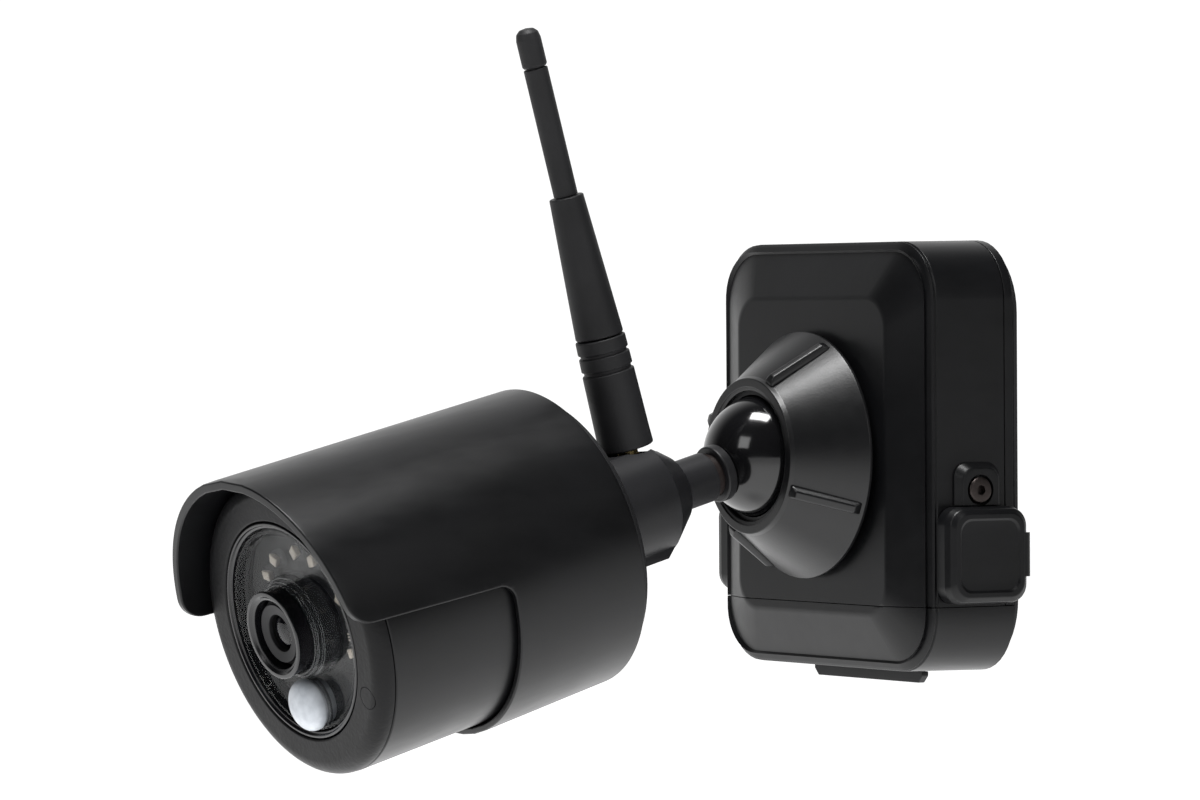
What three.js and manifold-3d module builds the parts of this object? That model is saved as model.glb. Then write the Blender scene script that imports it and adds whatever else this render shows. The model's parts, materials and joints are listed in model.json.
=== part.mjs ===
// Wire-free bullet security camera: barrel camera on a ball joint that is clamped to a wall-held power pack.
// Millimetres, +Z up. The wall is the plane Y = 0 and the object stands out towards -Y.
// The origin is the centre of the wall face. The barrel is drawn level in a group at the ball's centre,
// with its lens towards -Y, and the group is then tilted down and turned a little.

import * as THREE from 'three';
import { mergeVertices } from 'three/addons/utils/BufferGeometryUtils.js';
import Module from 'manifold-3d';

const wasm = await Module();
wasm.setup();

// Driving dimensions ---------------------------------------------------------------------------------

const gap = 0.3; // between pieces that touch
const degree = Math.PI / 180;

const pack = {
  width: 95.6, height: 108, corner: 15, draft: Math.tan(0.76 * degree), wall: 2.5,
  rimY: -25.5, faceY: -31, faceInsetX: 14, faceInsetZ: 13.9, faceCorner: 8,
  seamY: -4.4, coverBackY: -1.5, doorTopZ: -37.5,
};
const bracket = { width: 95.4, height: 107.8, corner: 18, holeR: 2.2, holeX: 31, holeZ: 34 };
const screwTab = {
  front: -20, back: -6.3, top: -1.4, bottom: -12, proud: 2.6, slope: 1.6, corner: 3.5, sunk: 1.5,
  recessClearance: 0.6,
};
const lockScrew = { r: 3.3, y: -13.3, z: -8.3, head: 2.2, length: 9, shankR: 1.5, hexR: 1.45 };
const latch = {
  front: -25.2, back: -1.2, top: -12.4, bottom: -36.7, inner: 48.4, outer: 54.5,
  corner: 4.5, border: 2.6, pivotX: 52.3, pivotY: -2.4, knuckleR: 2.2, knuckleTop: -19, knuckleBottom: -30,
  pinR: 0.8,
};
const doorTab = { halfWidth: 24.7, front: -13.8, back: -11.8, top: -54.75, bottom: -57.7, chamfer: 1.8 };
const battery = { width: 38, depth: 17.5, height: 77, x: 20.5, y: -15.2, z: -9, corner: 4.5 };

const ball = { y: -44.9, r: 15.7 };
const socket = {
  flangeR: 27, flangeY: -32.5, hubR: 23.6, hubBackY: -25, tubeR: 21.5, tubeFrontY: -44.1, seatR: 17.9,
};
const cup = { innerR: 16, outerR: 17.6, halfAngle: 48 * degree };
const collar = {
  baseY: -32.85, baseR: 31.4, rimY: -33.7, frontY: -50.05, ringR: 19.95, holeR: 16.6, shoulderY: -48.8,
  boreR: 22.4, boreFrontY: -44.8, ringPocketR: 19.1,
};
const pressure = { innerR: 16, outerR: 18.7, nearAngle: 76.5 * degree, farAngle: 88.5 * degree };
const rib = { count: 4, first: 65 * degree, length: 18.6, width: 3.4, proud: 1.5, sink: 1.6 };

const aim = { tilt: 15.3 * degree, turn: 3.2 * degree, roll: 0.8 * degree };
const stud = { r: 5, end: 33, ringR: 7.3, ringStart: 14.4, ringEnd: 17.2, sleeveR: 6.4, sleeveStart: 19.3 };
const boss = { tipS: 30, tipR: 8.9, edgeS: 38, r: 14.7, endS: 65, flatZ: 13.4, keelHalf: 8, keelBottom: -14.7 };
const antenna = { s: 40.4, baseZ: 13.9, padR: 7.4, padDepth: 8, socketR: 3.2, socketDepth: 6 };
const barrel = { drop: 1 }; // the barrel's axis is this far below the stud's axis
const shell = { rearS: 68.3, rearR: 38.2, frontS: 162, frontR: 40.5, rearWall: 1.2, frontWall: 2.4 };
const visor = { rimS: 152.9, slant: Math.tan(4.6 * degree), stepS: 107, stepZ: 0.3, tipZ: 3.6, corner: 4.5 };
const housing = { rearS: 68.8, rearR: 36.6, frontS: 142.8, frontR: 37.3, wall: 2.2 };
const bezel = { seamS: 143.1, frontS: 147.4, holeR: 27.5, spigotR: 34.8, backS: 137, round: 4.2 };
const bezelPlug = { x: 27.7, z: -16, r: 2.7, clearance: 0.2, seatS: 145.3 };
const cover = { ringR: 27.2, ringInnerR: 25.7, ringFrontS: 147.3, ringBackS: 143, frontS: 145, backS: 143.5 };
const lens = {
  lift: 0.4, hoodR: 10.5, lipR: 11, lipS: 151.6, hoodInnerR: 8.7, hoodFrontS: 152.5, backS: 136,
  collarR: 13, collarInnerR: 10.9,
};
const pir = { z: -18.65, r: 6.5, neckR: 5.6, wall: 0.9, neckS: 143, baseS: 146.5, sideS: 147.2, frontS: 151.2 };
const board = { r: 26.9, frontS: 139.6, thick: 1.6 };
const sensorBoard = { s: 128.6, size: 34 };
const mainBoard = { s: 100, z: -6, width: 56, length: 46 };
const ledAngles = [138, 118, 85, 62, 22, -22, 180, 205];
const led = { orbit: 18.2, r: 2.5, height: 3.2 };

// Solids ---------------------------------------------------------------------------------------------

function solid(geometry) {
  const bare = new THREE.BufferGeometry();
  bare.setAttribute('position', geometry.getAttribute('position'));
  bare.setIndex(geometry.index);
  const merged = mergeVertices(bare, 1e-4);
  const place = merged.getAttribute('position').array;
  const index = merged.index.array;
  const triVerts = [];
  let volume = 0;
  for (let i = 0; i < index.length; i += 3) {
    const [a, b, c] = [index[i], index[i + 1], index[i + 2]];
    if (a === b || b === c || c === a) continue;
    triVerts.push(a, b, c);
    const corner = (n) => new THREE.Vector3().fromArray(place, n * 3);
    volume += corner(a).dot(corner(b).cross(corner(c)));
  }
  if (volume < 0) triVerts.reverse();
  const mesh = { numProp: 3, vertProperties: new Float32Array(place), triVerts: new Uint32Array(triVerts) };
  return new wasm.Manifold(new wasm.Mesh(mesh));
}

function geometryOf(manifold) {
  const mesh = manifold.getMesh();
  const geometry = new THREE.BufferGeometry();
  geometry.setAttribute('position', new THREE.BufferAttribute(new Float32Array(mesh.vertProperties), 3));
  geometry.setIndex(Array.from(mesh.triVerts));
  geometry.computeVertexNormals();
  return geometry;
}

function arc(cx, cy, r, from, to, steps) {
  const points = [];
  for (let i = 0; i <= steps; i += 1) {
    const angle = from + ((to - from) * i) / steps;
    points.push([cx + r * Math.cos(angle), cy + r * Math.sin(angle)]);
  }
  return points;
}

// A turned solid on the Y axis. The outline is [radius, y] and is closed unless it starts on the axis.
function turned(outline, segments = 40) {
  const points = outline.map(([r, y]) => new THREE.Vector2(r, y));
  if (outline[0][0] > 0) points.push(points[0].clone());
  return solid(new THREE.LatheGeometry(points, segments));
}

// The same for an outline of [radius, s], where s is the distance along the barrel, towards -Y.
function alongBarrel(outline, segments) {
  return turned(outline.map(([r, s]) => [r, -s]), segments);
}

function rod(r, length, segments = 20) {
  return new THREE.CylinderGeometry(r, r, length, segments);
}

function block(x, y, z, w, d, h) {
  return solid(new THREE.BoxGeometry(w, d, h).translate(x, y, z));
}

function roundedOutline(width, height, corner, divisions = 3) {
  const [x, z] = [width / 2 - corner, height / 2 - corner];
  const shape = new THREE.Shape();
  shape.absarc(x, z, corner, 0, 90 * degree);
  shape.absarc(-x, z, corner, 90 * degree, 180 * degree);
  shape.absarc(-x, -z, corner, 180 * degree, 270 * degree);
  shape.absarc(x, -z, corner, 270 * degree, 360 * degree);
  return shape.getPoints(divisions);
}

// A solid skinned over rounded rectangles that stand across the Y axis.
function lofted(sections) {
  const rings = sections.map(({ y, width, height, corner }) => {
    const ring = roundedOutline(width, height, corner);
    return ring.slice(0, -1).map((point) => [point.x, y, point.y]);
  });
  const count = rings[0].length;
  const index = [];
  for (let level = 0; level + 1 < rings.length; level += 1) {
    for (let i = 0; i < count; i += 1) {
      const [a, b] = [level * count + i, level * count + ((i + 1) % count)];
      index.push(a, b, a + count, b, b + count, a + count);
    }
  }
  const last = (rings.length - 1) * count;
  for (let i = 1; i + 1 < count; i += 1) {
    index.push(0, i + 1, i, last, last + i, last + i + 1);
  }
  const geometry = new THREE.BufferGeometry();
  geometry.setAttribute('position', new THREE.Float32BufferAttribute(rings.flat(2), 3));
  geometry.setIndex(index);
  return geometry;
}

// Materials and nodes --------------------------------------------------------------------------------

const finishes = {
  satinBlack: { color: 0x0b0b0d, roughness: 0.38, metalness: 0 },
  matteBlack: { color: 0x0d0d0f, roughness: 0.62, metalness: 0 },
  glossBlack: { color: 0x060607, roughness: 0.12, metalness: 0 },
  rubberBlack: { color: 0x101011, roughness: 0.75, metalness: 0 },
  clear: { color: 0xdfe4e8, roughness: 0.06, metalness: 0, transparent: true, opacity: 0.3 },
  whiteLens: { color: 0xe4e5ea, roughness: 0.35, metalness: 0 },
  steel: { color: 0x8d8f94, roughness: 0.35, metalness: 1 },
  brass: { color: 0xb08d4a, roughness: 0.35, metalness: 1 },
  greenBoard: { color: 0x10361f, roughness: 0.55, metalness: 0 },
  darkBoard: { color: 0x141416, roughness: 0.6, metalness: 0 },
  batteryWrap: { color: 0x1d1f26, roughness: 0.5, metalness: 0 },
};

function node(parent, name, manifold, finish) {
  const mesh = new THREE.Mesh(geometryOf(manifold), new THREE.MeshStandardMaterial(finishes[finish]));
  mesh.name = name;
  parent.add(mesh);
  return mesh;
}

// Power pack -----------------------------------------------------------------------------------------

function packSection(y, shrink = 0) {
  const grow = Math.max(y - pack.rimY, 0) * pack.draft - shrink;
  return { y, width: pack.width + 2 * grow, height: pack.height + 2 * grow, corner: pack.corner - shrink };
}

function packFace(y, shareOfInset, shrink = 0) {
  return {
    y,
    width: pack.width - 2 * (shareOfInset * pack.faceInsetX + shrink),
    height: pack.height - 2 * (shareOfInset * pack.faceInsetZ + shrink),
    corner: pack.corner - shareOfInset * (pack.corner - pack.faceCorner),
  };
}

function packBody(backY) {
  return solid(lofted([
    packSection(backY),
    packSection(pack.rimY + 0.7),
    packFace(pack.rimY - 0.3, 0.055),
    packFace(pack.faceY + 0.7, 0.86),
    packFace(pack.faceY, 1),
  ]));
}

function packCavity(backY) {
  return solid(lofted([
    packSection(backY, pack.wall),
    packSection(pack.rimY + 1.2, pack.wall),
    packFace(pack.faceY + 3.2, 0.86, pack.wall),
    packFace(pack.faceY + pack.wall, 1, pack.wall),
  ]));
}

function halfSpaceBelow(z) {
  return block(0, -30, z - 100, 300, 300, 200);
}

function screwTabSolid() {
  const width = screwTab.back - screwTab.front;
  const height = screwTab.top - screwTab.bottom;
  const sideX = pack.width / 2;
  const shrunk = (by) => ({ width: width - by, height: height - by, corner: screwTab.corner - by / 4 });
  const geometry = lofted([
    { y: screwTab.sunk, ...shrunk(0) },
    { y: -gap, ...shrunk(0) },
    { y: -screwTab.proud - gap, ...shrunk(screwTab.slope * 2) },
  ]);
  geometry.rotateZ(90 * degree);
  geometry.translate(sideX, (screwTab.front + screwTab.back) / 2, (screwTab.top + screwTab.bottom) / 2);
  const recessLength = 12;
  const recess = rod(lockScrew.r + screwTab.recessClearance, recessLength).rotateZ(90 * degree);
  recess.translate(sideX + gap + recessLength / 2, lockScrew.y, lockScrew.z);
  return { tab: solid(geometry), recess: solid(recess) };
}

function addPackCase(parent) {
  const { tab, recess } = screwTabSolid();
  const shankHole = solid(rod(lockScrew.shankR + 0.2, 30).rotateZ(90 * degree)
    .translate(pack.width / 2, lockScrew.y, lockScrew.z));
  const socketHole = solid(rod(socket.hubR + gap, 20, 48).translate(0, pack.faceY, 0));
  const front = packBody(pack.seamY - gap / 2).add(tab)
    .subtract(packCavity(0))
    .subtract(socketHole)
    .subtract(recess)
    .subtract(shankHole)
    .subtract(halfSpaceBelow(pack.doorTopZ + gap / 2));
  node(parent, 'pack_front_housing', front, 'satinBlack');

  const backCover = solid(lofted([packSection(pack.coverBackY - gap / 2), packSection(pack.seamY + gap / 2)]))
    .subtract(halfSpaceBelow(pack.doorTopZ + gap / 2));
  node(parent, 'pack_back_cover', backCover, 'matteBlack');

  const lip = 0.5;
  const thick = 2;
  const gasketAt = (y, inset) => packSection(y, pack.wall + inset);
  const gasket = solid(lofted([gasketAt(pack.seamY - gap / 2, lip), gasketAt(-6.4, lip)]))
    .subtract(solid(lofted([gasketAt(0, lip + thick), gasketAt(-10, lip + thick)])))
    .subtract(halfSpaceBelow(pack.doorTopZ + 2));
  node(parent, 'pack_gasket', gasket, 'rubberBlack');
}

function addWallBracket(parent) {
  const chamfer = 0.5;
  const { width, height, corner } = bracket;
  let plate = solid(lofted([
    { y: 0, width, height, corner },
    { y: pack.coverBackY + gap / 2 + chamfer, width, height, corner },
    { y: pack.coverBackY + gap / 2, width: width - chamfer, height: height - chamfer, corner },
  ]));
  for (const x of [-bracket.holeX, bracket.holeX]) {
    for (const z of [-bracket.holeZ, bracket.holeZ]) {
      plate = plate.subtract(solid(rod(bracket.holeR, 10, 12).translate(x, 0, z)));
    }
  }
  node(parent, 'wall_bracket', plate, 'matteBlack');
}

function addBatteryDoor(parent) {
  const cavity = packCavity(pack.coverBackY - pack.wall)
    .subtract(halfSpaceBelow(-pack.height / 2 + pack.wall));
  const door = packBody(pack.coverBackY - gap / 2)
    .intersect(halfSpaceBelow(pack.doorTopZ - gap / 2))
    .subtract(cavity);
  node(parent, 'battery_door', door, 'satinBlack');
}

function addDoorLatch(parent) {
  const { halfWidth, front, back, top, bottom, chamfer } = doorTab;
  const outline = new THREE.Shape([
    new THREE.Vector2(-halfWidth, top),
    new THREE.Vector2(-halfWidth, bottom + chamfer),
    new THREE.Vector2(-halfWidth + chamfer, bottom),
    new THREE.Vector2(halfWidth - chamfer, bottom),
    new THREE.Vector2(halfWidth, bottom + chamfer),
    new THREE.Vector2(halfWidth, top),
  ]);
  const geometry = new THREE.ExtrudeGeometry(outline, { depth: back - front, bevelEnabled: false });
  geometry.rotateX(90 * degree).translate(0, back, 0);
  node(parent, 'door_latch', solid(geometry), 'satinBlack');
}

function addBatteries(parent) {
  const half = battery.depth / 2;
  const section = { width: battery.width, height: battery.height, corner: battery.corner };
  for (const [name, side] of [['battery_left', -1], ['battery_right', 1]]) {
    const cell = lofted([{ y: half, ...section }, { y: -half, ...section }]);
    cell.translate(side * battery.x, battery.y, battery.z);
    node(parent, name, solid(cell), 'batteryWrap');
  }
  const boardZ = battery.z + battery.height / 2 + 4;
  node(parent, 'contact_board', block(0, battery.y, boardZ, 68, battery.depth, 1.6), 'greenBoard');
}

function latchSolid() {
  const { front, back, top, bottom, inner, outer, corner, border } = latch;
  const full = { width: back - front, height: top - bottom, corner };
  const reduced = { width: full.width - 2 * border, height: full.height - 2 * border, corner: corner - 1 };
  const nearFull = { width: full.width - 1, height: full.height - 1, corner };
  const body = lofted([
    { y: 0, ...full },
    { y: -(outer - inner) * 0.5, ...full },
    { y: -(outer - inner) * 0.72, ...nearFull },
    { y: -(outer - inner), ...reduced },
  ]);
  body.rotateZ(90 * degree).translate(inner, (front + back) / 2, (top + bottom) / 2);
  const middleZ = (latch.knuckleTop + latch.knuckleBottom) / 2;
  const knuckle = rod(latch.knuckleR, latch.knuckleTop - latch.knuckleBottom, 24).rotateX(90 * degree);
  knuckle.translate(latch.pivotX, latch.pivotY, middleZ);
  const length = latch.knuckleTop - latch.knuckleBottom;
  const hole = rod(latch.pinR + 0.2, length, 12).rotateX(90 * degree);
  hole.translate(latch.pivotX, latch.pivotY, middleZ - 1);
  return solid(body).add(solid(knuckle)).subtract(solid(hole));
}

function addLatches(parent) {
  const length = latch.knuckleTop - latch.knuckleBottom - 2;
  const middleZ = (latch.knuckleTop + latch.knuckleBottom) / 2 - 1.5;
  for (const [name, side] of [['right', 1], ['left', -1]]) {
    const body = side > 0 ? latchSolid() : latchSolid().mirror([1, 0, 0]);
    node(parent, `latch_${name}`, body, 'satinBlack');
    const pin = rod(latch.pinR, length, 16).rotateX(90 * degree);
    pin.translate(side * latch.pivotX, latch.pivotY, middleZ);
    node(parent, `latch_pin_${name}`, solid(pin), 'steel');
  }
}

function addLockScrew(parent) {
  const { r, head, length, shankR, hexR, y, z } = lockScrew;
  const outline = [
    [0, -head], [r - 0.4, -head], [r, -head + 0.4], [r, 0],
    [shankR, 0], [shankR, length - head], [0, length - head],
  ];
  const hex = solid(new THREE.CylinderGeometry(hexR, hexR, 2.8, 6).translate(0, -head, 0));
  const seat = pack.width / 2 + gap + gap;
  const screw = turned(outline, 20).subtract(hex).rotate([0, 0, 90]).translate([seat, y, z]);
  node(parent, 'lock_screw', screw, 'steel');
}

// Ball mount -----------------------------------------------------------------------------------------

// An arc about the ball's centre, from one angle off the +Y axis to another.
function ballArc(r, from, to, steps) {
  return arc(0, ball.y, r, 90 * degree - from, 90 * degree - to, steps);
}

function addSocket(parent) {
  const { flangeR, flangeY, hubR, hubBackY, tubeR, tubeFrontY, seatR } = socket;
  const mouth = Math.acos((tubeFrontY - ball.y) / seatR);
  const outline = [
    ...ballArc(seatR, 0, mouth, 7),
    [tubeR, tubeFrontY], [tubeR, flangeY], [flangeR, flangeY],
    [flangeR, pack.faceY - gap], [hubR, pack.faceY - gap], [hubR, hubBackY], [0, hubBackY],
  ];
  node(parent, 'socket_base', turned(outline, 30), 'matteBlack');
}

function addFrictionCup(parent) {
  const { innerR, outerR, halfAngle } = cup;
  const outline = [...ballArc(innerR, 0, halfAngle, 4), ...ballArc(outerR, halfAngle, 0, 4)];
  node(parent, 'friction_cup', turned(outline, 24), 'rubberBlack');
}

function addPressureRing(parent) {
  const { innerR, outerR, nearAngle, farAngle } = pressure;
  const seat = ballArc(innerR, 180 * degree - nearAngle, 180 * degree - farAngle, 2);
  const [frontY, backY] = [seat[0][1], seat.at(-1)[1]];
  node(parent, 'pressure_ring', turned([...seat, [outerR, backY], [outerR, frontY]], 32), 'matteBlack');
}

function gripRib(angle) {
  const { baseR, rimY, frontY, ringR } = collar;
  const radial = new THREE.Vector3(Math.cos(angle), 0, Math.sin(angle));
  const outward = new THREE.Vector3(0, -1, 0);
  const along = radial.clone().multiplyScalar(ringR - baseR)
    .addScaledVector(outward, rimY - frontY).normalize();
  const across = new THREE.Vector3().crossVectors(radial, outward).normalize();
  const up = new THREE.Vector3().crossVectors(along, across).normalize();
  if (up.dot(radial) < 0) up.negate();
  const centre = radial.clone().multiplyScalar((baseR + ringR) / 2)
    .addScaledVector(outward, -(rimY + frontY) / 2);
  const half = rib.length / 2 - rib.width / 2;
  const outline = new THREE.Shape();
  outline.absarc(half, 0, rib.width / 2, -90 * degree, 90 * degree);
  outline.absarc(-half, 0, rib.width / 2, 90 * degree, 270 * degree);
  const bevel = 0.6;
  const geometry = new THREE.ExtrudeGeometry(outline, {
    depth: rib.proud + rib.sink - bevel, bevelEnabled: true, bevelThickness: bevel, bevelSize: bevel,
    bevelOffset: -bevel, bevelSegments: 1, curveSegments: 3,
  });
  geometry.translate(0, 0, -rib.sink);
  geometry.applyMatrix4(new THREE.Matrix4().makeBasis(along, across, up).setPosition(centre));
  return solid(geometry);
}

function addCollar(parent) {
  const { baseY, baseR, rimY, frontY, ringR, holeR, shoulderY, boreR, boreFrontY, ringPocketR } = collar;
  const frontLand = 0.9;
  const outline = [
    [boreR, baseY], [baseR - 0.5, baseY], [baseR, baseY - 0.5], [baseR, rimY],
    [ringR, frontY + frontLand], [ringR - 0.5, frontY], [holeR + 0.4, frontY], [holeR, frontY + 0.4],
    [holeR, shoulderY], [ringPocketR, shoulderY], [ringPocketR, boreFrontY], [boreR, boreFrontY],
  ];
  let body = turned(outline, 48);
  for (let i = 0; i < rib.count; i += 1) {
    body = body.add(gripRib(rib.first + (i * 360 * degree) / rib.count));
  }
  node(parent, 'clamp_collar', body, 'satinBlack');
}

// Stud, boss and antenna -----------------------------------------------------------------------------

function addBallStud(parent) {
  const neck = Math.asin(stud.r / ball.r);
  const sphere = arc(0, 0, ball.r, neck - 90 * degree, 90 * degree, 11);
  sphere.at(-1)[0] = 0;
  const outline = [[0, -stud.end], [stud.r, -stud.end], ...sphere];
  node(parent, 'ball_stud', turned(outline, 32), 'glossBlack');

  const bore = stud.r + gap;
  const ringEdge = 0.5;
  const ring = [
    [bore, stud.ringStart + 0.9], [stud.ringR, stud.ringStart],
    [stud.ringR, stud.ringEnd - ringEdge], [stud.ringR - ringEdge, stud.ringEnd], [bore, stud.ringEnd],
  ];
  node(parent, 'neck_lock_ring', alongBarrel(ring, 24), 'satinBlack');
  const end = boss.tipS - gap;
  const sleeve = [[bore, stud.sleeveStart], [stud.sleeveR, stud.sleeveStart], [stud.sleeveR, end], [bore, end]];
  node(parent, 'neck_sleeve', alongBarrel(sleeve, 24), 'matteBlack');
}

function addBoss(parent) {
  const bore = stud.r + gap;
  const { keelHalf, keelBottom } = boss;
  const bossLength = boss.endS - boss.tipS;
  const outline = [
    [0, boss.endS], [boss.r, boss.endS], [boss.r, boss.edgeS], [boss.tipR, boss.tipS + 0.4],
    [boss.tipR - 0.4, boss.tipS], [bore, boss.tipS], [bore, stud.end + gap], [0, stud.end + gap],
  ];
  const pad = solid(rod(antenna.padR, antenna.padDepth, 32).rotateX(90 * degree)
    .translate(0, -antenna.s, boss.flatZ - antenna.padDepth / 2));
  const socketHole = solid(rod(antenna.socketR, 2 * antenna.socketDepth).rotateX(90 * degree)
    .translate(0, -antenna.s, boss.flatZ));
  // The keel under the boss is a block whose front follows the boss's own cone.
  const cone = (boss.r - boss.tipR) / (boss.edgeS - boss.tipS);
  const wideR = 20;
  const coneOutline = [
    [0, boss.endS], [wideR, boss.endS], [wideR, boss.tipS + (wideR - boss.tipR) / cone],
    [boss.tipR - 0.4, boss.tipS], [0, boss.tipS],
  ];
  const boreDepth = stud.end + gap - boss.tipS;
  const boreHole = solid(rod(bore, 2 * boreDepth, 24).translate(0, -boss.tipS, 0));
  const keel = block(0, -boss.tipS - bossLength / 2, keelBottom / 2, 2 * keelHalf, bossLength, -keelBottom)
    .intersect(alongBarrel(coneOutline, 24))
    .subtract(boreHole);
  const topCut = 20;
  const body = alongBarrel(outline, 36)
    .subtract(block(0, -boss.tipS - bossLength / 2, boss.flatZ + topCut / 2, 60, 60, topCut))
    .add(pad)
    .add(keel)
    .subtract(socketHole);
  node(parent, 'rear_boss', body, 'satinBlack');
}

function addAntenna(parent) {
  const group = new THREE.Group();
  group.position.set(0, -antenna.s, antenna.baseZ);
  group.rotation.x = 90 * degree;
  parent.add(group);
  const connector = [[0, -5.3], [2.7, -5.3], [2.7, 4], [0, 4]];
  node(group, 'antenna_connector', turned(connector, 16), 'brass');
  const base = [
    [0, 4.3], [3.1, 4.3], [3.1, 0], [6.6, 0], [7, 0.5], [7, 1.5], [6.9, 1.8], [6.6, 19.6],
    [6.0, 20.1], [6.0, 20.7], [6.5, 21.1], [6.45, 24], [5.9, 24.4], [5.9, 25], [6.4, 25.4],
    [6.3, 28.2], [5.8, 28.7], [0, 28.7],
  ];
  node(group, 'antenna_base', turned(base, 24), 'rubberBlack');
  const sleeve = [[0, 29], [5.9, 29], [6.1, 29.6], [4.35, 64.4], [4, 65], [0, 65]];
  node(group, 'antenna_sleeve', turned(sleeve, 24), 'rubberBlack');
  const whip = [[0, 65.3], [3.05, 65.3], [3.05, 97.4], [2.7, 97.9], [0, 97.9]];
  node(group, 'antenna_whip', turned(whip, 20), 'rubberBlack');
  const cap = [[0, 98.2], [2.75, 98.2], [3.15, 98.7], [3.15, 105.4], [2.8, 107], [1.8, 107.9], [0, 108.2]];
  node(group, 'antenna_cap', turned(cap, 20), 'rubberBlack');
}

// Barrel ---------------------------------------------------------------------------------------------

function shellRadius(s) {
  const share = (s - shell.rearS) / (shell.frontS - shell.rearS);
  return shell.rearR + share * (shell.frontR - shell.rearR);
}

function shellWall(s) {
  const share = (s - shell.rearS) / (shell.frontS - shell.rearS);
  return shell.rearWall + share * (shell.frontWall - shell.rearWall);
}

// What is left of the sunshade in side view: the slanted rim at the front and the cut-away underside.
function visorSideCut() {
  const far = 60;
  const { rimS, slant, stepS, stepZ, tipZ, corner } = visor;
  const tipCorner = 6;
  const rim = (z) => -(rimS + slant * z);
  const outline = new THREE.Shape();
  outline.moveTo(-stepS, -far);
  outline.lineTo(-stepS, stepZ - corner);
  outline.absarc(-stepS - corner, stepZ - corner, corner, 0, 90 * degree);
  outline.lineTo(rim(tipZ) + tipCorner, tipZ - 0.3);
  outline.quadraticCurveTo(rim(tipZ), tipZ, rim(tipZ + tipCorner), tipZ + tipCorner);
  outline.lineTo(rim(far), far);
  outline.lineTo(-shell.frontS - 10, far);
  outline.lineTo(-shell.frontS - 10, -far);
  const geometry = new THREE.ExtrudeGeometry(outline, { depth: 120, bevelEnabled: false, curveSegments: 5 });
  // The shape's x is the barrel's y, and its y is the barrel's z.
  const turn = new THREE.Matrix4().makeBasis(
    new THREE.Vector3(0, 1, 0), new THREE.Vector3(0, 0, 1), new THREE.Vector3(1, 0, 0));
  geometry.applyMatrix4(turn).translate(-60, 0, 0);
  return solid(geometry);
}

function addShell(parent) {
  const { rearS, frontS, rearR } = shell;
  const edge = 0.4;
  const outline = [
    [rearR - shellWall(rearS), rearS], [rearR - edge, rearS], [rearR, rearS + edge],
    [shellRadius(frontS), frontS], [shellRadius(frontS) - shellWall(frontS), frontS],
  ];
  node(parent, 'sunshade_shell', alongBarrel(outline, 60).subtract(visorSideCut()), 'satinBlack');
}

function addHousing(parent) {
  const { rearS, rearR, frontS, frontR, wall } = housing;
  const tube = [[rearR - wall, rearS], [rearR, rearS], [frontR, frontS], [frontR - wall, frontS]];
  node(parent, 'inner_housing', alongBarrel(tube, 48), 'satinBlack');
  const cap = [
    [0, 68.2], [30, 68.2], [30, 74], [33.9, 74], [33.9, 68.4],
    [36.3, 68.4], [36.3, 66.7], [35, 65.3], [0, 65.3],
  ];
  node(parent, 'rear_cap', alongBarrel(cap, 40), 'matteBlack');
}

function addBezel(parent) {
  const { seamS, frontS, holeR, spigotR, backS, round } = bezel;
  const rounded = arc(housing.frontR - round, -seamS, round, 0, -90 * degree, 4);
  const outline = [
    ...rounded, [holeR + 0.6, -frontS], [holeR, -frontS + 0.5], [holeR, -backS],
    [spigotR, -backS], [spigotR, -seamS],
  ];
  const body = turned(outline, 44);
  // The plug closes a screw hole and follows the bezel's own surface.
  const { x, z, r, clearance, seatS } = bezelPlug;
  const drill = (radius, fromS) => solid(rod(radius, 10, 16).translate(x, -fromS - 5, z));
  node(parent, 'front_bezel', body.subtract(drill(r + clearance, seatS)), 'matteBlack');
  node(parent, 'bezel_plug', body.intersect(drill(r, seatS + gap)), 'matteBlack');
}

function addCover(parent) {
  const { ringR, ringInnerR, ringFrontS, ringBackS, frontS, backS } = cover;
  const ring = [[ringInnerR, ringBackS], [ringR, ringBackS], [ringR, ringFrontS], [ringInnerR, ringFrontS]];
  node(parent, 'cover_ring', alongBarrel(ring, 36), 'glossBlack');
  const [innerR, outerR] = [lens.collarR + lens.lift + gap, ringInnerR - gap];
  const plate = [[innerR, backS], [outerR, backS], [outerR, frontS], [innerR, frontS]];
  const pirHole = solid(rod(pir.neckR + gap, 10, 20).translate(0, -frontS, pir.z));
  node(parent, 'cover_lens', alongBarrel(plate, 36).subtract(pirHole), 'clear');
}

function addLens(parent) {
  const group = new THREE.Group();
  group.position.z = lens.lift;
  parent.add(group);
  const { hoodR, lipR, lipS, hoodInnerR, hoodFrontS, backS, collarR, collarInnerR } = lens;
  const hood = [
    [hoodInnerR, backS], [hoodR, backS], [hoodR, lipS], [lipR, lipS + 0.2], [lipR, hoodFrontS - 0.3],
    [lipR - 0.4, hoodFrontS], [hoodInnerR + 0.7, hoodFrontS], [hoodInnerR, hoodFrontS - 0.7],
  ];
  node(group, 'lens_hood', alongBarrel(hood, 30), 'satinBlack');
  // A clear stepped boss rises from the cover around the hood.
  const collarRing = [
    [collarInnerR, 142.2], [collarR, 142.2], [collarR, 146.2], [12.2, 146.2], [12.2, 147.4],
    [11.6, 147.4], [11.6, 148.1], [collarInnerR, 148.1],
  ];
  node(group, 'lens_collar', alongBarrel(collarRing, 30), 'clear');
  const mount = [[0, 130], [8.4, 130], [8.4, 149], [4.9, 149], [4.9, 147.6], [0, 147.6]];
  node(group, 'lens_barrel', alongBarrel(mount, 24), 'glossBlack');
  const frontRing = [[4.6, 149.3], [7.4, 149.3], [7.4, 150.8], [4.6, 150.3]];
  node(group, 'lens_ring', alongBarrel(frontRing, 24), 'satinBlack');
  const glass = [[0, 147.9], [4.2, 147.9], [4.2, 148.5], [3.2, 149.4], [1.6, 149.9], [0, 150]];
  node(group, 'lens_glass', alongBarrel(glass, 24), 'clear');
}

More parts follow.
